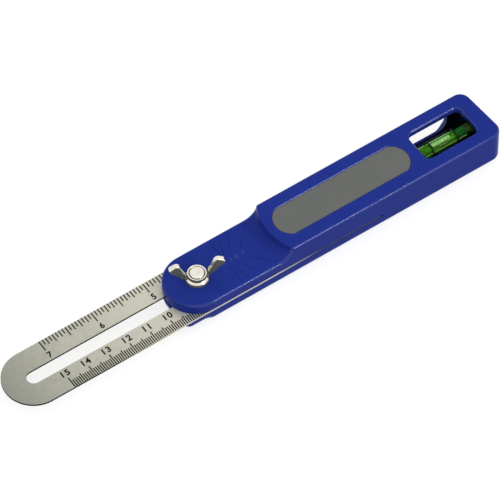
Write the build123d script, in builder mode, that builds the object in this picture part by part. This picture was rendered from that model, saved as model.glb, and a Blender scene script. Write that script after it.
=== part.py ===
from build123d import *
import math
import os

os.makedirs("parts", exist_ok=True)

# Sliding bevel gauge lying on the flat underside of its grip, in millimetres.
# Origin: where the pivot axis meets the rest plane.
# +X runs along the grip, the blade points to -X, +Z is up.

# Handle, outside
handle_width = 27.2
grip_end = 143.5  # pivot axis to the middle of the far end
end_skew = 2.0  # how much further the far end's front corner is than its back one
grip_height = 18.7  # rest plane to the top of the grip
cheek_top = 13.1  # rest plane to the top of the thin end
nose_centre = -1.0  # pivot axis to the middle of the round end
square_corner = 4.7
top_round = 1.1
bottom_round = 3.4
heel_corner = 3.6  # the lower cheek is square on its front side, and this rounds its corner

# Ramp from the thin end up to the grip, bowed towards the blade
ramp_foot = 33.8
ramp_bow = 27.0
ramp_slope = 78.0
ramp_spread = 50.0  # half the angle that the cut sweeps, enough to pass both sides
ramp_hollow = 0.95  # radius of the hollow at the ramp's foot, as a share of the ramp's height
ramp_top_round = 0.6

# Step on the underside, where the thin end lifts off the rest plane
nose_lift = 2.0
step_top = -5.0
step_bottom = -1.4
step_round = 4.0

# Blade
blade_thickness = 1.0
blade_level = 7.25  # rest plane to the middle of the blade
blade_side_play = 0.1
tip_centre = -79.8
blade_far_end = 109.2
blade_slot_width = 6.2
blade_slot_far_centre = 59.4

# Slot in the handle for the blade, slanted at its end as the blade is
slot_play = 0.15
slot_end_clearance = 1.2

# Pivot bolt, with a round head in the underside and a neck whose flats run in the blade's slot
thread_radius = 3.0
thread_end = 17.2
neck_radius = 4.1
neck_side_play = 0.1
collar_play = 0.06
bore_play = 0.05
head_radius = 6.0
head_thickness = 3.0
head_recess = 0.4
head_pocket_play = 0.4
head_edge_chamfer = 0.7
thread_chamfer = 0.25

# Washer and wing nut
washer_radius = 5.0
washer_thickness = 0.8
nut_gap = 0.03
hub_base_radius = 4.8
hub_flange = 0.5
hub_waist_radius = 4.1
hub_waist = 1.3
hub_top_radius = 4.0
hub_height = 3.0
nut_bore_chamfer = 0.45
wing_turn = -20.8
wing_root_thickness = 1.0  # at the axis, where the two sides' slopes meet
wing_tip_thickness = 2.5
wing_tip_round = 1.5
wing_edge_chamfer = 0.3
wing_inner_foot = 3.3
wing_outer_foot = 5.3
wing_foot_lift = 0.2  # above the hub's underside
wing_inner_radius = 7.9  # the two corners of a wing's tip, out from the axis and up from the thin end
wing_inner_height = 12.3
wing_outer_radius = 12.5
wing_outer_height = 9.5

# Soft inlay in the top of the grip
inlay_start = 38.9
inlay_finish = 104.8
inlay_width = 14.6
inlay_end_bow = 4.5
inlay_corner = 1.2
inlay_thickness = 1.0
inlay_sunk = 0.25
inlay_edge_chamfer = 0.2
inlay_rim_chamfer = 0.3  # round the top of the recess
inlay_play = 0.05

# Window over the level vial, and the chamber under it
window_start = 109.7
window_length = 26.3
window_width = 15.4
window_corner = 2.8
window_chamfer = 0.45
roof_thickness = 3.0
shelf_thickness = 0.9  # over the slot, where the chamber is shallow
side_wall = 2.0
floor_thickness = 0.95
slot_end_wall = 1.6
chamber_finish = 137.4
sill_height = 1.25
side_window_finish = 133.6
side_window_corner = 5.5

# Level vial
vial_radius = 3.7
vial_bore_radius = 2.9
vial_length = 32.4
vial_middle = -1.3  # from the middle of the window
vial_level = 13.35
vial_offset = -1.2
vial_cap_thickness = 5.2
vial_plug_length = 4.3
vial_plug_flange = 0.9
vial_seat_play = 0.05
liquid_play = 0.03
vial_line_spacing = 12.3
vial_line_width = 0.6
vial_line_thickness = 0.12
bubble_length = 9.0
bubble_radius = 1.9

# Angle marks cut in the thin end, each along a blade edge turned to that angle
mark_angles = (45.0, 60.0, 75.0, 90.0)
mark_distance = 14.3  # pivot axis to every mark
mark_width = 0.35
mark_depth = 0.15
mark_inner = 3.2  # from the handle's middle line to each end of a mark
mark_outer = 12.0

# Sizes that follow from those above
half_width = handle_width / 2
nose_tip = nose_centre - half_width
blade_half_width = half_width - blade_side_play
slot_floor = blade_level - blade_thickness / 2 - slot_play
slot_roof = blade_level + blade_thickness / 2 + slot_play
slot_end = blade_far_end + slot_end_clearance
slot_short_end = slot_end - 2 * blade_half_width
ramp_centre = ramp_foot + ramp_bow
ramp_height = grip_height - cheek_top
ramp_run = ramp_height / math.tan(math.radians(ramp_slope))
collar_radius = neck_radius
collar_bore = collar_radius + collar_play
head_pocket_radius = head_radius + head_pocket_play
head_top = head_recess + head_thickness
chamber_start = slot_end + slot_end_wall
chamber_half_width = half_width - side_wall
shelf_level = slot_roof + shelf_thickness
chamber_roof = grip_height - roof_thickness
window_centre = window_start + window_length / 2
vial_centre = window_centre + vial_middle
vial_start = vial_centre - vial_length / 2
vial_seat_radius = vial_radius + vial_seat_play
vial_axis = Plane.YZ.offset(vial_start)
liquid_start = vial_cap_thickness
liquid_length = vial_length - vial_plug_flange - vial_plug_length - vial_cap_thickness
inlay_top = grip_height - inlay_sunk
inlay_bottom = inlay_top - inlay_thickness
margin = 5.0  # how far a cut runs past the surface it opens
nearby = 0.1  # how far round a place its edges and corners are looked for


def inlay_outline(level, gap):
    """The inlay from above, straight along its sides and bowed at its ends, grown by a gap."""
    shoulder = inlay_width / 2
    with BuildSketch(Plane.XY.offset(level)) as outline:
        with BuildLine():
            left_top = (inlay_start + inlay_end_bow, shoulder)
            left_bottom = (inlay_start + inlay_end_bow, -shoulder)
            right_top = (inlay_finish - inlay_end_bow, shoulder)
            right_bottom = (inlay_finish - inlay_end_bow, -shoulder)
            ThreePointArc(left_top, (inlay_start, 0), left_bottom)
            Line(left_bottom, right_bottom)
            ThreePointArc(right_bottom, (inlay_finish, 0), right_top)
            Line(right_top, left_top)
        make_face()
        fillet(outline.vertices(), inlay_corner)
        if gap > 0:
            offset(amount=gap)
    return outline.sketch


# Handle: one moulding, a fork at the pivot end and a solid grip with a window at the other
with BuildPart() as handle_body:
    with BuildSketch() as lower_plan:
        with BuildLine():
            CenterArc((nose_centre, 0), half_width, 90, 90)
            Polyline(
                (nose_tip, 0),
                (nose_tip, -half_width),
                (grip_end + end_skew / 2, -half_width),
                (grip_end - end_skew / 2, half_width),
                (nose_centre, half_width),
            )
        make_face()
        fillet(lower_plan.vertices().sort_by(Axis.X)[-2:], square_corner)
        fillet(lower_plan.vertices().group_by(Axis.X)[0].sort_by(Axis.Y)[0], heel_corner)
    extrude(amount=blade_level)
    with BuildSketch(Plane.XY.offset(blade_level)) as upper_plan:
        with BuildLine():
            CenterArc((nose_centre, 0), half_width, 90, 180)
            Polyline(
                (nose_centre, -half_width),
                (grip_end + end_skew / 2, -half_width),
                (grip_end - end_skew / 2, half_width),
                (nose_centre, half_width),
            )
        make_face()
        fillet(upper_plan.vertices().sort_by(Axis.X)[-2:], square_corner)
    extrude(amount=grip_height - blade_level)

    # the ramp is turned about an upright axis inside the grip, which bows it
    start_angle = math.radians(180 - ramp_spread)
    ramp_plane = Plane(
        origin=(ramp_centre, 0, 0),
        x_dir=(math.cos(start_angle), math.sin(start_angle), 0),
        z_dir=(math.sin(start_angle), -math.cos(start_angle), 0),
    )
    with BuildSketch(ramp_plane) as ramp_cut:
        with BuildLine():
            Polyline(
                (ramp_centre + half_width + margin, cheek_top),
                (ramp_bow, cheek_top),
                (ramp_bow - ramp_run, grip_height),
                (ramp_bow - ramp_run - margin, grip_height),
                (ramp_bow - ramp_run - margin, grip_height + margin),
                (ramp_centre + half_width + margin, grip_height + margin),
                close=True,
            )
        make_face()
        corners = ramp_cut.vertices().filter_by_position(
            Axis.X, ramp_bow - ramp_run - nearby, ramp_bow + nearby
        )
        fillet(corners.sort_by(Axis.Y)[0], ramp_height * ramp_hollow)
        fillet(corners.sort_by(Axis.Y)[-1], ramp_top_round)
    revolve(
        axis=Axis((ramp_centre, 0, 0), (0, 0, 1)),
        revolution_arc=2 * ramp_spread,
        mode=Mode.SUBTRACT,
    )

    with BuildSketch(Plane.XZ) as nose_relief:
        with BuildLine():
            Polyline(
                (nose_tip - margin, nose_lift),
                (step_top, nose_lift),
                (step_bottom, 0),
                (step_bottom + margin, 0),
                (step_bottom + margin, -margin),
                (nose_tip - margin, -margin),
                close=True,
            )
        make_face()
        fillet(
            nose_relief.vertices().filter_by_position(Axis.X, step_top - nearby, step_bottom + nearby),
            step_round,
        )
    extrude(amount=handle_width, both=True, mode=Mode.SUBTRACT)

    # rims: every edge of the outline, apart from the lines where a slope meets a level across the handle
    level_edges = handle_body.edges().filter_by(Axis.Z, reverse=True)
    inner_edges = level_edges.filter_by_position(Axis.Y, 1 - half_width, half_width - 1)
    across = inner_edges.filter_by_position(Axis.X, step_top - margin, ramp_centre)
    rims = level_edges.filter_by(lambda edge: edge not in across)
    fillet(rims.filter_by_position(Axis.Z, cheek_top - nearby, grip_height), top_round)
    lower_edges = handle_body.edges().filter_by(Axis.Z, reverse=True)
    lower_edges = lower_edges.filter_by_position(Axis.Z, 0, nose_lift + nearby)
    lower_inner = lower_edges.filter_by_position(Axis.Y, 1 - half_width, half_width - 1)
    lower_across = lower_inner.filter_by_position(Axis.X, step_top - step_round, ramp_centre)
    fillet(lower_edges.filter_by(lambda edge: edge not in lower_across), bottom_round)

    # slot for the blade, open at the nose and along both sides
    with BuildSketch(Plane.XY.offset(slot_floor)):
        with BuildLine():
            Polyline(
                (nose_tip - margin, -half_width - margin),
                (slot_short_end - margin, -blade_half_width - margin),
                (slot_end + margin, blade_half_width + margin),
                (nose_tip - margin, half_width + margin),
                close=True,
            )
        make_face()
    extrude(amount=slot_roof - slot_floor, mode=Mode.SUBTRACT)

    # pivot: pocket for the bolt's head, bore for its collar and bore for its thread
    with Locations(Location((0, 0, 0), (180, 0, 0))):
        CounterBoreHole(
            radius=collar_bore,
            counter_bore_radius=head_pocket_radius,
            counter_bore_depth=head_top,
            depth=slot_floor,
        )
    with Locations((0, 0, cheek_top)):
        Hole(radius=thread_radius + bore_play, depth=cheek_top - slot_roof)

    # recess for the inlay
    inlay_recess = inlay_outline(inlay_bottom, inlay_play)
    extrude(inlay_recess, amount=grip_height - inlay_bottom, mode=Mode.SUBTRACT)
    recess_rim = handle_body.faces().sort_by(Axis.Z)[-1].inner_wires()
    chamfer(recess_rim.edges(), inlay_rim_chamfer)

    # window through the roof of the grip, its chamber, and the side window behind the vial
    with BuildSketch(Plane.XY.offset(grip_height)):
        with Locations((window_centre, 0)):
            RectangleRounded(window_length, window_width, window_corner)
    extrude(amount=-roof_thickness, mode=Mode.SUBTRACT)
    for start, level in ((window_start, shelf_level), (chamber_start, floor_thickness)):
        with BuildSketch(Plane.XY.offset(level)):
            with Locations(((start + chamber_finish) / 2, 0)):
                Rectangle(chamber_finish - start, 2 * chamber_half_width)
        extrude(amount=chamber_roof - level, mode=Mode.SUBTRACT)
    with BuildSketch(Plane.XZ.offset(-chamber_half_width)) as side_window:
        with BuildLine():
            Polyline(
                (chamber_start, chamber_roof),
                (chamber_start, sill_height),
                (side_window_finish, sill_height),
                (side_window_finish, chamber_roof),
                close=True,
            )
        make_face()
        fillet(side_window.vertices().group_by(Axis.Y)[0], side_window_corner)
    extrude(amount=-side_wall - margin, mode=Mode.SUBTRACT)

    # seats for the ends of the vial
    with BuildSketch(vial_axis):
        with Locations((vial_offset, vial_level)):
            Circle(vial_seat_radius)
    extrude(amount=vial_length, mode=Mode.SUBTRACT)

    # angle marks, in mirrored pairs
    with BuildSketch(Plane.XY.offset(cheek_top)):
        for side in (1, -1):
            for angle in mark_angles:
                slope = math.tan(math.radians(angle))
                crossing = mark_distance / math.sin(math.radians(angle))
                inner_x = crossing + mark_inner / slope
                outer_x = crossing + mark_outer / slope
                middle = ((inner_x + outer_x) / 2, side * (mark_inner + mark_outer) / 2)
                length = math.hypot(outer_x - inner_x, mark_outer - mark_inner)
                with Locations(middle):
                    Rectangle(length, mark_width, rotation=side * angle)
    extrude(amount=-mark_depth, mode=Mode.SUBTRACT)

    window_rim = handle_body.faces().sort_by(Axis.Z)[-1].inner_wires()
    window_edges = window_rim.edges().filter_by_position(Axis.X, window_start - nearby, grip_end)
    chamfer(window_edges, window_chamfer)
handle_body.part.label = "handle_body"
export_step(handle_body.part, "parts/handle_body.step")


# Inlay, let into the top of the grip
with BuildPart() as grip_inlay:
    extrude(inlay_outline(inlay_bottom, 0), amount=inlay_thickness)
    chamfer(grip_inlay.faces().sort_by(Axis.Z)[-1].edges(), inlay_edge_chamfer)
grip_inlay.part.label = "grip_inlay"
export_step(grip_inlay.part, "parts/grip_inlay.step")


# Blade: round at the tip, cut off at 45 degrees inside the handle, slotted for the bolt
with BuildPart() as blade:
    with BuildSketch(Plane.XY.offset(blade_level - blade_thickness / 2)):
        with BuildLine():
            Polyline(
                (tip_centre, -blade_half_width),
                (blade_far_end - 2 * blade_half_width, -blade_half_width),
                (blade_far_end, blade_half_width),
                (tip_centre, blade_half_width),
            )
            ThreePointArc(
                (tip_centre, blade_half_width),
                (tip_centre - blade_half_width, 0),
                (tip_centre, -blade_half_width),
            )
        make_face()
        with Locations(((tip_centre + blade_slot_far_centre) / 2, 0)):
            SlotCenterToCenter(
                blade_slot_far_centre - tip_centre, blade_slot_width, mode=Mode.SUBTRACT
            )
    extrude(amount=blade_thickness)
blade.part.label = "blade"
export_step(blade.part, "parts/blade.step")


# Pivot bolt: head, collar in the lower cheek, flats in the blade's slot, thread up through the wing nut
neck_half_width = blade_slot_width / 2 - neck_side_play
with BuildPart() as pivot_bolt:
    with BuildSketch(Plane.XZ) as bolt_section:
        with BuildLine():
            Polyline(
                (0, head_recess),
                (head_radius, head_recess),
                (head_radius, head_top),
                (collar_radius, head_top),
                (collar_radius, slot_roof - slot_play),
                (thread_radius, slot_roof - slot_play),
                (thread_radius, thread_end),
                (0, thread_end),
                close=True,
            )
        make_face()
        chamfer(bolt_section.vertices().group_by(Axis.Y)[0].sort_by(Axis.X)[-1], head_edge_chamfer)
        chamfer(bolt_section.vertices().group_by(Axis.Y)[-1].sort_by(Axis.X)[-1], thread_chamfer)
    revolve(axis=Axis.Z)
    with BuildSketch(Plane.XY.offset(slot_floor)):
        with Locations((0, neck_half_width + margin / 2), (0, -neck_half_width - margin / 2)):
            Rectangle(2 * head_radius, margin)
    extrude(amount=slot_roof - slot_floor, mode=Mode.SUBTRACT)
pivot_bolt.part.label = "pivot_bolt"
export_step(pivot_bolt.part, "parts/pivot_bolt.step")


# Washer under the wing nut
with BuildPart() as washer:
    with BuildSketch(Plane.XY.offset(cheek_top)):
        Circle(washer_radius)
        Circle(thread_radius + 2 * bore_play, mode=Mode.SUBTRACT)
    extrude(amount=washer_thickness)
washer.part.label = "washer"
export_step(washer.part, "parts/washer.step")


# Wing nut: two wings that thicken towards their tips, on a hub with a bevelled foot
hub_foot = cheek_top + washer_thickness + nut_gap
hub_head = hub_foot + hub_height
wing_foot = hub_foot + wing_foot_lift
with BuildPart() as wing_nut:
    for side in (1, -1):
        with BuildSketch(Plane.XZ.rotated((0, 0, wing_turn))) as wing:
            with BuildLine():
                Polyline(
                    (side * wing_inner_foot, wing_foot),
                    (side * wing_outer_foot, wing_foot),
                    (side * wing_outer_radius, cheek_top + wing_outer_height),
                    (side * wing_inner_radius, cheek_top + wing_inner_height),
                    close=True,
                )
            make_face()
            fillet(wing.vertices().sort_by(Axis.Y)[-2:], wing_tip_round)
        extrude(amount=wing_tip_thickness / 2, both=True)
    with BuildSketch(Plane.XY.rotated((0, 0, wing_turn)).offset(hub_foot)):
        for side in (1, -1):
            with BuildLine():
                Polyline(
                    (0, -wing_root_thickness / 2),
                    (side * wing_outer_radius, -wing_tip_thickness / 2),
                    (side * wing_outer_radius, wing_tip_thickness / 2),
                    (0, wing_root_thickness / 2),
                    close=True,
                )
            make_face()
    extrude(amount=wing_inner_height, mode=Mode.INTERSECT)
    wing_sides = wing_nut.faces().sort_by(SortBy.AREA)[-4:]
    chamfer(wing_sides.edges(), wing_edge_chamfer)
    with BuildSketch(Plane.XZ):
        with BuildLine():
            Polyline(
                (0, hub_foot),
                (hub_base_radius, hub_foot),
                (hub_base_radius, hub_foot + hub_flange),
                (hub_waist_radius, hub_foot + hub_waist),
                (hub_top_radius, hub_head),
                (0, hub_head),
                close=True,
            )
        make_face()
    revolve(axis=Axis.Z)
    with Locations((0, 0, hub_head)):
        CounterSinkHole(
            radius=thread_radius + bore_play,
            counter_sink_radius=thread_radius + bore_play + nut_bore_chamfer,
            depth=hub_height,
        )
wing_nut.part.label = "wing_nut"
export_step(wing_nut.part, "parts/wing_nut.step")


# Level vial: a tube closed at one end, a plug, the liquid round its bubble, and two lines round the tube
with BuildPart() as vial_tube:
    with BuildSketch(vial_axis):
        with Locations((vial_offset, vial_level)):
            Circle(vial_radius)
    extrude(amount=vial_length - vial_plug_flange)
    with BuildSketch(vial_axis.offset(vial_cap_thickness)):
        with Locations((vial_offset, vial_level)):
            Circle(vial_bore_radius)
    extrude(amount=vial_length - vial_cap_thickness, mode=Mode.SUBTRACT)
vial_tube.part.label = "vial_tube"
export_step(vial_tube.part, "parts/vial_tube.step")

with BuildPart() as vial_plug:
    with BuildSketch(vial_axis.offset(vial_length - vial_plug_flange)):
        with Locations((vial_offset, vial_level)):
            Circle(vial_radius)
    extrude(amount=vial_plug_flange)
    with BuildSketch(vial_axis.offset(vial_length - vial_plug_flange)):
        with Locations((vial_offset, vial_level)):
            Circle(vial_bore_radius)
    extrude(amount=-vial_plug_length)
vial_plug.part.label = "vial_plug"
export_step(vial_plug.part, "parts/vial_plug.step")

with BuildPart() as vial_liquid:
    with BuildSketch(vial_axis.offset(liquid_start)):
        with Locations((vial_offset, vial_level)):
            Circle(vial_bore_radius - liquid_play)
    extrude(amount=liquid_length)
    bubble_place = (vial_centre, vial_offset, vial_level + vial_bore_radius - bubble_radius)
    with Locations(Location(bubble_place, (0, 90, 0))):
        Cylinder(radius=bubble_radius, height=bubble_length - 2 * bubble_radius, mode=Mode.SUBTRACT)
    for side in (1, -1):
        bubble_end = vial_centre + side * (bubble_length / 2 - bubble_radius)
        with Locations((bubble_end, bubble_place[1], bubble_place[2])):
            Sphere(radius=bubble_radius, mode=Mode.SUBTRACT)
vial_liquid.part.label = "vial_liquid"
export_step(vial_liquid.part, "parts/vial_liquid.step")

for name, side in (("vial_line_left", -1), ("vial_line_right", 1)):
    line_start = (vial_length + side * vial_line_spacing - vial_line_width) / 2
    with BuildPart() as vial_line:
        with BuildSketch(vial_axis.offset(line_start)):
            with Locations((vial_offset, vial_level)):
                Circle(vial_radius + vial_line_thickness)
                Circle(vial_radius, mode=Mode.SUBTRACT)
        extrude(amount=vial_line_width)
    vial_line.part.label = name
    export_step(vial_line.part, f"parts/{name}.step")
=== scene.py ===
import math

import bmesh
import bpy
from mathutils import Matrix, Vector


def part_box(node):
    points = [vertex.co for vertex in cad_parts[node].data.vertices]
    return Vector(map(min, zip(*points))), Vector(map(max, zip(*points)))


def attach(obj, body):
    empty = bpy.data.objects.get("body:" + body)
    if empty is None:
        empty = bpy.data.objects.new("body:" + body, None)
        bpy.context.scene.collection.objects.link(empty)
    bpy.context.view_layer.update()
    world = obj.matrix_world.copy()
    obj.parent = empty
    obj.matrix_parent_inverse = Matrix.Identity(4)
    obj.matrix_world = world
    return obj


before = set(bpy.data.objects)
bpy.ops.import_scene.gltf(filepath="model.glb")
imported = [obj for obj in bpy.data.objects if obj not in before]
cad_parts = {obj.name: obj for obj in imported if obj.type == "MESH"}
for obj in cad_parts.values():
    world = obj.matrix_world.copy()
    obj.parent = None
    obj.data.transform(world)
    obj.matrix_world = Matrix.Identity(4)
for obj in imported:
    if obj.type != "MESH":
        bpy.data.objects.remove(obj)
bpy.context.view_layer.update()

# Sizes and places are in millimetres, in the CAD's frame, and MM turns them into Blender's metres.
# Those of the stage and the camera are in metres and degrees.
MM = 0.001
scene = bpy.context.scene


def box(node):
    """The node's lowest and highest corner at rest, in millimetres."""
    return [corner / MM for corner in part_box(node)]


# Blade and its printed scales
BLADE_END, BLADE_HALF_WIDTH, BLADE_TOP = box("blade")[1]
INK = (BLADE_TOP - 0.01, BLADE_TOP + 0.03)  # from just under the surface to just over it
LINE_HALF_WIDTH = 0.26
LINE_GAP = 0.05  # from the blade's long edge to the ends of the lines
INCH_ZERO = BLADE_END
INCH = 25.4
INCH_PARTS = 16
INCHES = 7
INCH_LINES = ((16, 5.2), (8, 4.7), (4, 3.75), (2, 3.35), (1, 2.7))  # every so many lines, how long
CM_ZERO = 81.4
CM = 10.0
CM_PARTS = 10
CENTIMETRES = 15
CM_LINES = ((10, 5.3), (5, 4.45), (1, 3.55))
NUMERAL_HEIGHT = 3.0
NUMERAL_OFFSET = 5.65  # from the blade's middle line
NUMERAL_WEIGHT = 0.03
INCH_NUMERAL_SHIFT = 0.25  # from their lines
CM_NUMERAL_STRETCH = 1.05
CM_NUMERAL_SPACING = 1.18

# Along the blade, where its colour changes: the steel's own tone, painted shade and painted light
SHADED_TIP = (-93.0, -60.0)  # painted shade, partly the steel's own duller tone, before; plain beyond
LIT_TOWARDS_HANDLE = (-55.0, -20.0)  # plain before, painted light beyond
SHADED_END_WALLS = (-50.0, -20.0)  # painted shade on the end's walls before, none beyond
SHADED_EDGE_SPAN = (30.0, 52.0)  # no shade before, painted shade beyond
SLOT_ZONE = 6.0  # the slot's walls lie nearer to the middle line than this
WALL = 0.5  # faces less level than this are walls

# Numerals on the thin end of the handle, on which the washer lies
THIN_END_TOP = box("washer")[0].z
RELIEF = (THIN_END_TOP - 0.05, THIN_END_TOP + 0.1)
ANGLE_NUMERALS = (("90", 13.3, 0.0), ("75", 16.3, 0.0), ("60", 19.5, 0.0), ("45", 22.8, 0.0))
ANGLE_NUMERAL_HEIGHT = 1.7
ANGLE_NUMERAL_STRETCH = 0.95
ANGLE_NUMERAL_TURN = -90.0

# Places on the handle that its material tells apart: an axis, with a low and a high limit
# the chamber under the window, which the handle's material paints with shade
SHADED_CHAMBER = (("X", 109.3, 137.6), ("Y", -11.8, 11.8), ("Z", 0.8, 15.85))
RAMP = (("X", 26.0, 42.0), ("Y", -12.4, 12.4))
NOSE_AND_INLAY = (("X", -20.0, 107.0), ("Y", -9.0, 9.0))

# Level vial, with its two lines round its axis
FIRST_LINE = box("vial_line_left")
SECOND_LINE = box("vial_line_right")
VIAL_OFFSET = (SECOND_LINE[0].y + SECOND_LINE[1].y) / 2
VIAL_LEVEL = (SECOND_LINE[0].z + SECOND_LINE[1].z) / 2
BUBBLE_SHIFT = -0.65  # from the middle between the lines
BUBBLE_CENTRE = (FIRST_LINE[0].x + SECOND_LINE[1].x) / 2 + BUBBLE_SHIFT
BUBBLE_LENGTH = 9.0
BUBBLE_RADII = (2.78, 2.89)  # its inner and outer skin, from the vial's axis
BUBBLE_HALF_ARC = 50.0
BUBBLE_TAPER = 0.22  # the share of its length that its sides lack
BUBBLE_SQUARENESS = 3.0
BUBBLE_LEAST = 0.5  # the least share of the length that its rounded ends leave
BUBBLE_STEPS = 24

# Where the colours in the vial change, worked out from its second line and its axis
DEEP_GREEN = (SECOND_LINE[0].x, SECOND_LINE[0].x + 1.2)  # light before, deep beyond
# a painted highlight along the front of the liquid
SHINE_BOTTOM = (VIAL_LEVEL + 0.9, VIAL_LEVEL + 1.05)
SHINE_TOP = (VIAL_LEVEL + 1.3, VIAL_LEVEL + 1.5)
SHINE_FRONT = VIAL_OFFSET - 1.8
# a painted highlight and painted shade across the bubble
STREAK_FRONT = (VIAL_OFFSET - 1.15, VIAL_OFFSET - 0.7)
STREAK_REAR = (VIAL_OFFSET + 0.45, VIAL_OFFSET + 0.8)

# Stage
FLOOR_HALF = 2.0
FLOOR_DROP = 0.00002
FLOOR_GREY = 0.4
FLOOR_GLOW = 0.74
SKY_STOPS = ((0.03, (0.3, 0.3, 0.3)), (0.22, (0.84, 0.84, 0.83)))  # height and colour
LAMP_DIRECTION = (0.34, -0.81, 0.47)
LAMP_DISTANCE = 1.0
LAMP_TARGET = (0.03, 0.0, 0.01)
LAMP_SIDE = 0.2
LAMP_POWER = 2.4
LAMP_COLOUR = (0.86, 0.91, 1.0)

# Camera
AZIMUTH = -34.6
ELEVATION = 54.1
DISTANCE = 2.669
AIM = (0.0282, 0.002885, 0.00725)
LENS_PIXELS = 6518.0
PICTURE_PIXELS = 500.0
SENSOR = 36.0  # its width in millimetres


# Meshes
def new_piece(name, mesh, body, material):
    mesh.name = name
    obj = bpy.data.objects.new(name, mesh)
    scene.collection.objects.link(obj)
    mesh.materials.clear()
    mesh.materials.append(material)
    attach(obj, body)


def mesh_from(shape):
    mesh = bpy.data.meshes.new("piece")
    shape.to_mesh(mesh)
    shape.free()
    return mesh


def scale_mesh(zero, pitch, steps, lines, side):
    """A flat bar for each step, from the blade's long edge on one side inwards."""
    low, high = INK
    shape = bmesh.new()
    for step in steps:
        half_length = next(length for every, length in lines if step % every == 0) / 2
        y = side * (BLADE_HALF_WIDTH - LINE_GAP - half_length)
        place = Vector((zero - step * pitch, y, (high + low) / 2)) * MM
        half_size = Vector((LINE_HALF_WIDTH, half_length, (high - low) / 2)) * MM
        made = bmesh.ops.create_cube(shape, size=2.0)
        bmesh.ops.scale(shape, vec=half_size, verts=made["verts"])
        bmesh.ops.translate(shape, vec=place, verts=made["verts"])
    return mesh_from(shape)


def scale_labels(zero, unit, count, y):
    return [(str(number), zero - unit * number, y) for number in range(1, count + 1)]


def text_mesh(labels, levels, height, stretch=1.0, turn=0.0, weight=0.0, spacing=1.0):
    """Numerals as solid plates between two levels; each label is (text, x, y), centred there."""
    low, high = levels
    shape = bmesh.new()
    for text, x, y in labels:
        curve = bpy.data.curves.new("numeral", "FONT")
        curve.body = text
        curve.size = 1.0
        curve.align_x = "CENTER"
        curve.offset = weight
        curve.space_character = spacing
        curve.resolution_u = 4
        curve.extrude = 0.5  # each way, so the plate is 1 thick until it is scaled
        holder = bpy.data.objects.new("numeral", curve)
        scene.collection.objects.link(holder)
        depsgraph = bpy.context.evaluated_depsgraph_get()
        mesh = bpy.data.meshes.new_from_object(holder.evaluated_get(depsgraph))
        ys = [vertex.co.y for vertex in mesh.vertices]
        middle = (max(ys) + min(ys)) / 2
        size = height * MM / (max(ys) - min(ys))
        place = (
            Matrix.Translation((x * MM, y * MM, (low + high) / 2 * MM))
            @ Matrix.Rotation(math.radians(turn), 4, "Z")
            @ Matrix.Diagonal((size * stretch, size, (high - low) * MM, 1.0))
            @ Matrix.Translation((0, -middle, 0))
        )
        mesh.transform(place)
        shape.from_mesh(mesh)
        bpy.data.objects.remove(holder)
        bpy.data.curves.remove(curve)
        bpy.data.meshes.remove(mesh)
    return mesh_from(shape)


def bubble_point(radius, along, across):
    """A point of the bubble's skin; along and across run from -1 to 1."""
    turn = math.radians(BUBBLE_HALF_ARC * across)
    reach = BUBBLE_LENGTH / 2 * (1 - BUBBLE_TAPER * across * across) * along
    y = VIAL_OFFSET + radius * math.sin(turn)
    z = VIAL_LEVEL + radius * math.cos(turn)
    return Vector((BUBBLE_CENTRE + reach, y, z)) * MM


def rim(rows):
    """The points round the edge of a grid, in order."""
    far_side = [row[-1] for row in rows[:0:-1]]
    return [row[0] for row in rows[:-1]] + rows[-1][:-1] + far_side + rows[0][:0:-1]


def bubble_mesh():
    """An oblong patch of a thin shell round the vial's axis."""
    shape = bmesh.new()
    steps = [2 * step / BUBBLE_STEPS - 1 for step in range(BUBBLE_STEPS + 1)]
    skins = []
    for radius in BUBBLE_RADII:
        rows = []
        for across in steps:
            bulge = math.sqrt(1 - abs(across) ** BUBBLE_SQUARENESS)
            share = BUBBLE_LEAST + (1 - BUBBLE_LEAST) * bulge
            points = [bubble_point(radius, share * along, across) for along in steps]
            rows.append([shape.verts.new(point) for point in points])
        skins.append(rows)
    inner, outer = skins
    for i in range(BUBBLE_STEPS):
        for k in range(BUBBLE_STEPS):
            shape.faces.new((outer[i][k], outer[i + 1][k], outer[i + 1][k + 1], outer[i][k + 1]))
            shape.faces.new((inner[i][k], inner[i][k + 1], inner[i + 1][k + 1], inner[i + 1][k]))
    low, high = rim(inner), rim(outer)
    for corners in zip(low, low[1:] + low[:1], high[1:] + high[:1], high):
        shape.faces.new(corners)
    bmesh.ops.recalc_face_normals(shape, faces=shape.faces)
    for face in shape.faces:
        face.smooth = True
    return mesh_from(shape)


# Materials
class Nodes:
    """The nodes of a material or a world, with short ways to make them."""

    def __init__(self, owner, output):
        owner.use_nodes = True
        self.tree = owner.node_tree
        self.tree.nodes.clear()
        self.result = self.node(output).inputs[0]

    def node(self, kind, **values):
        made = self.tree.nodes.new(kind)
        for key, value in values.items():
            setattr(made, key, value)
        return made

    def give(self, socket, value):
        """value is a number, a colour or another node's output."""
        if isinstance(value, (int, float)):
            socket.default_value = value
        elif isinstance(value, tuple):
            socket.default_value = (*value, 1.0)
        else:
            self.tree.links.new(value, socket)

    def axes(self, vector):
        split = self.node("ShaderNodeSeparateXYZ")
        self.give(split.inputs[0], vector)
        return split.outputs

    def maths(self, operation, *values):
        made = self.node("ShaderNodeMath", operation=operation)
        for socket, value in zip(made.inputs, values):
            self.give(socket, value)
        return made.outputs[0]

    def background_rays(self):
        """1 for rays that see the white background: the camera's, reflected and transmitted ones."""
        path = self.node("ShaderNodeLightPath").outputs
        seen = self.maths("MAXIMUM", path["Is Camera Ray"], path["Is Glossy Ray"])
        return self.maths("MAXIMUM", seen, path["Is Transmission Ray"])


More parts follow.
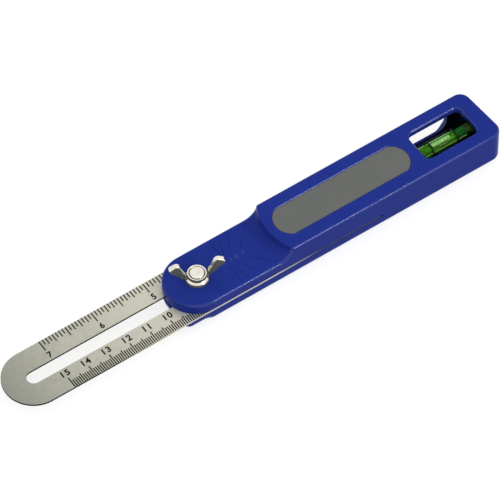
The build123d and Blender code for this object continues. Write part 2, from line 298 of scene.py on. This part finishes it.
class Look(Nodes):
    """A material of one Principled shader."""

    def __init__(self, name):
        self.material = bpy.data.materials.new(name)
        super().__init__(self.material, "ShaderNodeOutputMaterial")
        self.shader = self.node("ShaderNodeBsdfPrincipled")
        self.give(self.result, self.shader.outputs[0])
        self.coords = self.node("ShaderNodeTexCoord").outputs["Object"]

    def feed(self, **values):
        """Fills the shader's sockets; a space in a socket's name is written _ here."""
        for name, value in values.items():
            self.give(self.shader.inputs[name.replace("_", " ")], value)

    def place(self):
        return self.axes(self.coords)

    def levelness(self):
        """1 where the surface faces straight up or down, 0 where it is upright."""
        normal = self.node("ShaderNodeNewGeometry").outputs["Normal"]
        return self.maths("ABSOLUTE", self.axes(normal)["Z"])

    def stretched(self, scale):
        mapping = self.node("ShaderNodeMapping")
        mapping.inputs["Scale"].default_value = scale
        self.give(mapping.inputs["Vector"], self.coords)
        return mapping.outputs[0]

    def noise(self, scale, detail=3.0, rough=0.5, vector=None):
        texture = self.node("ShaderNodeTexNoise")
        self.give(texture.inputs["Scale"], scale)
        self.give(texture.inputs["Detail"], detail)
        self.give(texture.inputs["Roughness"], rough)
        self.give(texture.inputs["Vector"], vector or self.coords)
        return texture.outputs["Fac"]

    def spread(self, value, low, high, start=0.3, end=0.7):
        """low where value is start or less, high where it is end or more."""
        mapped = self.node("ShaderNodeMapRange")
        limits = {"From Min": start, "From Max": end, "To Min": low, "To Max": high}
        for name, limit in limits.items():
            self.give(mapped.inputs[name], limit)
        self.give(mapped.inputs["Value"], value)
        return mapped.outputs["Result"]

    def between(self, place, low, high, limits):
        """low before the two limits, which are in millimetres, and high beyond them."""
        start, end = limits
        return self.spread(place, low, high, start * MM, end * MM)

    def inside(self, limits):
        """1 within the limits, which are (axis, low, high), and 0 outside."""
        place = self.place()
        tests = []
        for axis, low, high in limits:
            tests.append(self.maths("GREATER_THAN", place[axis], low * MM))
            tests.append(self.maths("LESS_THAN", place[axis], high * MM))
        mask = tests[0]
        for test in tests[1:]:
            mask = self.maths("MULTIPLY", mask, test)
        return mask

    def blend(self, amount, a, b):
        """a where amount is 0, b where it is 1."""
        mix = self.node("ShaderNodeMix", data_type="RGBA")
        for socket, value in zip((mix.inputs[0], mix.inputs[6], mix.inputs[7]), (amount, a, b)):
            self.give(socket, value)
        return mix.outputs[2]

    def two_tone(self, pattern, dark, light):
        return self.blend(self.spread(pattern, 0.0, 1.0), dark, light)

    def bump(self, height, strength, depth):
        made = self.node("ShaderNodeBump")
        self.give(made.inputs["Strength"], strength)
        self.give(made.inputs["Distance"], depth * MM)
        self.give(made.inputs["Height"], height)
        return made.outputs[0]


def blue_plastic():
    look = Look("blue_moulding")
    cloud = look.noise(40.0, detail=2.0)
    grain = look.noise(3200.0, detail=2.0)
    wear = look.noise(350.0, detail=4.0, rough=0.6)
    base = look.two_tone(cloud, (0.0145, 0.032, 0.258), (0.0175, 0.036, 0.282))
    # handling has polished the rounded edges, less on the nose and round the inlay, and not the ramp
    level = look.levelness()
    off_flat = look.spread(level, 1.0, 0.0, start=0.9, end=0.985)
    off_upright = look.spread(level, 0.0, 1.0, start=0.1, end=0.3)
    rounded = look.maths("MULTIPLY", off_flat, off_upright)
    polish = look.spread(look.inside(NOSE_AND_INLAY), 0.6, 0.22, start=0.0, end=1.0)
    polish = look.maths("MULTIPLY", polish, look.maths("SUBTRACT", 1.0, look.inside(RAMP)))
    look.feed(
        # painted shade: the chamber under the window is painted near black, standing in for the deep
        # shade inside it
        Base_Color=look.blend(look.inside(SHADED_CHAMBER), base, (0.003, 0.009, 0.026)),
        Roughness=look.spread(wear, 0.2, 0.28),
        Normal=look.bump(grain, strength=0.1, depth=0.02),
        Specular_IOR_Level=0.03,
        Coat_Weight=look.maths("MULTIPLY", rounded, polish),
        Coat_Roughness=0.12,
    )
    return look.material


def pale_blue():
    look = Look("moulded_numerals")
    numeral_tone = look.noise(2500.0)
    look.feed(
        # painted light: the numerals are the handle's plastic painted paler, standing in for the
        # light their raised faces catch
        Base_Color=look.two_tone(numeral_tone, (0.02, 0.04, 0.29), (0.06, 0.09, 0.42)),
        Roughness=look.spread(numeral_tone, 0.3, 0.45),
        Specular_IOR_Level=0.2,
    )
    return look.material


def grey_inlay():
    look = Look("grey_inlay")
    fine = look.noise(5200.0, rough=0.6)
    cloud = look.noise(140.0)
    base = look.two_tone(cloud, (0.098, 0.104, 0.098), (0.12, 0.125, 0.117))
    look.feed(
        Base_Color=look.blend(look.spread(fine, 0.0, 0.5), base, (0.165, 0.17, 0.158)),
        Roughness=look.spread(cloud, 0.55, 0.7),
        Normal=look.bump(fine, strength=0.35, depth=0.05),
    )
    return look.material


def blade_steel():
    """Mottled steel, with painted shade at the round end, partly its own duller tone, and painted
    light towards the handle.
    """
    look = Look("blade_steel")
    strokes = look.noise(900.0, detail=4.0, rough=0.65, vector=look.stretched((0.035, 1.0, 1.0)))
    mottle = look.noise(420.0, detail=6.0, rough=0.65)
    smear = look.noise(60.0)
    place = look.place()
    base = look.two_tone(mottle, (0.44, 0.44, 0.37), (0.58, 0.57, 0.48))
    base = look.blend(look.spread(smear, 0.0, 0.5), base, (0.52, 0.51, 0.43))
    # painted shade at the round end, partly the steel's own tone, and painted light towards the
    # handle, where the handle's shade falls on the blade
    tip_shade = look.between(place["X"], 0.8, 0.0, SHADED_TIP)
    base = look.blend(tip_shade, base, (0.265, 0.267, 0.24))
    handle_side_light = look.between(place["X"], 0.0, 0.9, LIT_TOWARDS_HANDLE)
    base = look.blend(handle_side_light, base, (0.67, 0.645, 0.545))
    # painted shade: the walls of the slot and of the round end are painted near black, and the long
    # edges keep the steel's colour
    wall = look.maths("LESS_THAN", look.levelness(), WALL)
    inner = look.maths("LESS_THAN", look.maths("ABSOLUTE", place["Y"]), SLOT_ZONE * MM)
    end = look.between(place["X"], 1.0, 0.0, SHADED_END_WALLS)
    shaded_walls = look.maths("MULTIPLY", wall, look.maths("MAXIMUM", inner, end))
    # painted shade: the part of the edges that stays in the handle is painted dark blue, standing in
    # for the shade of the handle round it
    edge_shade = look.maths("MULTIPLY", wall, look.between(place["X"], 0.0, 1.0, SHADED_EDGE_SPAN))
    base = look.blend(edge_shade, base, (0.06, 0.07, 0.13))
    # where shade is painted, the steel is also made less metallic
    painted_shade = look.maths("MAXIMUM", shaded_walls, edge_shade)
    look.feed(
        Base_Color=look.blend(shaded_walls, base, (0.004, 0.004, 0.004)),
        Metallic=look.spread(painted_shade, 0.4, 0.0, start=0.0, end=1.0),
        Roughness=look.spread(strokes, 0.32, 0.46),
        Normal=look.bump(strokes, strength=0.12, depth=0.01),
        Specular_IOR_Level=0.03,
    )
    return look.material


def plated(name, tint, shade_tint, cloudy_share=0.82, worn_share=2.2):
    """Bright plating, with painted shade on its upright sides, which are darker and less metallic.
    """
    look = Look(name)
    wear = look.noise(900.0, detail=4.0, rough=0.6)
    cloud = look.noise(380.0, detail=4.0)
    top = look.two_tone(cloud, tuple(part * cloudy_share for part in tint), tint)
    # painted shade: the upright sides get the darker shade tint
    side = look.two_tone(wear, shade_tint, tuple(part * worn_share for part in shade_tint))
    upright = look.spread(look.levelness(), 1.0, 0.0, start=0.12, end=0.3)
    look.feed(
        Base_Color=look.blend(upright, top, side),
        Metallic=look.spread(upright, 1.0, 0.3, start=0.0, end=1.0),
        Roughness=look.spread(wear, 0.12, 0.26),
        Normal=look.bump(cloud, strength=0.2, depth=0.08),
        Specular_IOR_Level=0.1,
    )
    return look.material


def ink():
    look = Look("etched_black")
    worn = look.noise(1800.0)
    look.feed(
        Base_Color=look.two_tone(worn, (0.003, 0.003, 0.003), (0.012, 0.012, 0.011)),
        Roughness=look.spread(worn, 0.5, 0.65),
        Specular_IOR_Level=0.1,
    )
    return look.material


def clear_tube():
    look = Look("vial_clear")
    haze = look.noise(400.0, detail=2.0)
    look.feed(
        Base_Color=look.two_tone(haze, (0.62, 0.85, 0.52), (0.7, 0.9, 0.58)),
        Roughness=look.spread(haze, 0.02, 0.05),
        Transmission_Weight=1.0,
        IOR=1.02,
    )
    return look.material


def green_liquid():
    """Light green with a painted highlight as a bright line along its front, deeper beyond the
    second line.
    """
    look = Look("vial_fluid")
    swirl = look.noise(900.0, rough=0.6, vector=look.stretched((0.35, 1.0, 1.0)))
    place = look.place()
    light = look.two_tone(swirl, (0.02, 0.13, 0.005), (0.13, 0.34, 0.02))
    deep = look.two_tone(swirl, (0.002, 0.045, 0.012), (0.012, 0.13, 0.035))
    base = look.blend(look.between(place["X"], 0.0, 1.0, DEEP_GREEN), light, deep)
    # painted highlight: a bright band along the front of the liquid
    above = look.between(place["Z"], 0.0, 1.0, SHINE_BOTTOM)
    below = look.between(place["Z"], 1.0, 0.0, SHINE_TOP)
    front = look.maths("LESS_THAN", place["Y"], SHINE_FRONT * MM)
    painted_shine = look.maths("MULTIPLY", front, look.maths("MULTIPLY", above, below))
    look.feed(
        Base_Color=look.blend(painted_shine, base, (0.85, 0.92, 0.5)),
        Roughness=look.spread(swirl, 0.05, 0.12),
        Specular_IOR_Level=0.2,
    )
    return look.material


def bubble_air():
    """A painted highlight as a pale streak along the middle, painted shade as olive in front of it,
    and green behind.
    """
    look = Look("vial_bubble")
    haze = look.noise(900.0, detail=4.0, rough=0.6)
    place = look.place()
    olive = look.two_tone(haze, (0.03, 0.09, 0.015), (0.24, 0.22, 0.08))
    pale = look.two_tone(haze, (0.34, 0.45, 0.34), (0.8, 0.85, 0.74))
    green = look.two_tone(haze, (0.04, 0.18, 0.02), (0.18, 0.38, 0.08))
    # painted shade in front, painted highlight along the middle
    front = look.blend(look.between(place["Y"], 0.0, 1.0, STREAK_FRONT), olive, pale)
    look.feed(
        Base_Color=look.blend(look.between(place["Y"], 0.0, 1.0, STREAK_REAR), front, green),
        Roughness=look.spread(haze, 0.1, 0.2),
    )
    return look.material


def plug_plastic():
    look = Look("vial_plug_green")
    cloud = look.noise(300.0)
    look.feed(
        Base_Color=look.two_tone(cloud, (0.01, 0.05, 0.008), (0.09, 0.13, 0.02)),
        Roughness=look.spread(cloud, 0.2, 0.35),
    )
    return look.material


black = ink()
# each plating's second colour is the painted shade of its upright sides
bright = plated("plated_bolt", (0.92, 0.88, 0.8), (0.12, 0.11, 0.09))
looks = {
    "handle_body": blue_plastic(),
    "grip_inlay": grey_inlay(),
    "blade": blade_steel(),
    "pivot_bolt": bright,
    "washer": bright,
    "wing_nut": plated("plated_nut", (0.92, 0.88, 0.76), (0.1, 0.105, 0.08)),
    "vial_tube": clear_tube(),
    "vial_plug": plug_plastic(),
    "vial_liquid": green_liquid(),
    "vial_line_left": black,
    "vial_line_right": black,
}
for name, material in looks.items():
    for material_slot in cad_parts[name].material_slots:
        material_slot.material = material

# Scales on the blade; its end is the inches' zero, so no line is printed there
inch_steps = range(1, INCHES * INCH_PARTS + 1)
cm_steps = range(CENTIMETRES * CM_PARTS + 1)
inch_labels = scale_labels(INCH_ZERO + INCH_NUMERAL_SHIFT, INCH, INCHES, NUMERAL_OFFSET)
cm_labels = scale_labels(CM_ZERO, CM, CENTIMETRES, -NUMERAL_OFFSET)
printed = {
    "inch_scale_lines": scale_mesh(INCH_ZERO, INCH / INCH_PARTS, inch_steps, INCH_LINES, side=1),
    "cm_scale_lines": scale_mesh(CM_ZERO, CM / CM_PARTS, cm_steps, CM_LINES, side=-1),
    "inch_numerals": text_mesh(inch_labels, INK, NUMERAL_HEIGHT, weight=NUMERAL_WEIGHT),
    "cm_numerals": text_mesh(
        cm_labels,
        INK,
        NUMERAL_HEIGHT,
        stretch=CM_NUMERAL_STRETCH,
        weight=NUMERAL_WEIGHT,
        spacing=CM_NUMERAL_SPACING,
    ),
}
for name, mesh in printed.items():
    new_piece(name, mesh, "blade", black)

# Bubble of the level vial
new_piece("vial_bubble", bubble_mesh(), "handle", bubble_air())

# Numerals moulded on the handle
angle_numerals = text_mesh(
    ANGLE_NUMERALS,
    RELIEF,
    ANGLE_NUMERAL_HEIGHT,
    stretch=ANGLE_NUMERAL_STRETCH,
    turn=ANGLE_NUMERAL_TURN,
)
new_piece("angle_numerals", angle_numerals, "handle", pale_blue())

# Floor, which glows for the rays that see the background
floor_white = bpy.data.materials.new("floor_white")
nodes = Nodes(floor_white, "ShaderNodeOutputMaterial")
diffuse = nodes.node("ShaderNodeBsdfDiffuse")
nodes.give(diffuse.inputs["Color"], (FLOOR_GREY, FLOOR_GREY, FLOOR_GREY))
glow = nodes.node("ShaderNodeEmission")
nodes.give(glow.inputs["Strength"], nodes.maths("MULTIPLY", nodes.background_rays(), FLOOR_GLOW))
both = nodes.node("ShaderNodeAddShader")
nodes.give(both.inputs[0], diffuse.outputs[0])
nodes.give(both.inputs[1], glow.outputs[0])
nodes.give(nodes.result, both.outputs[0])

corners = [(x * FLOOR_HALF, y * FLOOR_HALF, 0) for x, y in ((-1, -1), (1, -1), (1, 1), (-1, 1))]
floor_mesh = bpy.data.meshes.new("floor")
floor_mesh.from_pydata(corners, [], [(0, 1, 2, 3)])
floor_mesh.materials.append(floor_white)
floor = bpy.data.objects.new("floor", floor_mesh)
scene.collection.objects.link(floor)
floor.location.z = -FLOOR_DROP

# World, which lights the object from above and is white to the rays that see the background
world = bpy.data.worlds.new("studio")
scene.world = world
nodes = Nodes(world, "ShaderNodeOutputWorld")
direction = nodes.axes(nodes.node("ShaderNodeTexCoord").outputs["Generated"])
ramp = nodes.node("ShaderNodeValToRGB")
nodes.give(ramp.inputs[0], direction["Z"])
for stop, (position, colour) in zip(ramp.color_ramp.elements, SKY_STOPS):
    stop.position = position
    stop.color = (*colour, 1.0)
sky = nodes.node("ShaderNodeBackground")
nodes.give(sky.inputs["Color"], ramp.outputs[0])
white = nodes.node("ShaderNodeBackground")
nodes.give(white.inputs["Color"], (1.0, 1.0, 1.0))
choice = nodes.node("ShaderNodeMixShader")
nodes.give(choice.inputs[0], nodes.background_rays())
nodes.give(choice.inputs[1], sky.outputs[0])
nodes.give(choice.inputs[2], white.outputs[0])
nodes.give(nodes.result, choice.outputs[0])

# Soft lamp in front, which the rounded edges reflect as thin lines
lamp_data = bpy.data.lights.new("front_box", "AREA")
lamp_data.shape = "RECTANGLE"
lamp_data.size = LAMP_SIDE
lamp_data.size_y = LAMP_SIDE
lamp_data.energy = LAMP_POWER
lamp_data.color = LAMP_COLOUR
lamp = bpy.data.objects.new("front_box", lamp_data)
scene.collection.objects.link(lamp)
towards_lamp = Vector(LAMP_DIRECTION).normalized()
lamp.location = Vector(LAMP_TARGET) + towards_lamp * LAMP_DISTANCE
lamp.rotation_euler = towards_lamp.to_track_quat("Z", "Y").to_euler()

# Camera, which looks at AIM; its lens is given in pixels of the picture
camera_data = bpy.data.cameras.new("camera")
camera_data.sensor_width = SENSOR
camera_data.lens = SENSOR * LENS_PIXELS / PICTURE_PIXELS
camera_data.clip_start = 0.1
camera_data.clip_end = 20.0
camera = bpy.data.objects.new("camera", camera_data)
scene.collection.objects.link(camera)
azimuth = math.radians(AZIMUTH)
elevation = math.radians(ELEVATION)
outward = math.cos(elevation)
back = Vector((math.sin(azimuth) * outward, -math.cos(azimuth) * outward, math.sin(elevation)))
camera.location = Vector(AIM) + back * DISTANCE
camera.rotation_mode = "QUATERNION"
camera.rotation_quaternion = back.to_track_quat("Z", "Y")
scene.camera = camera
scene.view_settings.view_transform = "Standard"
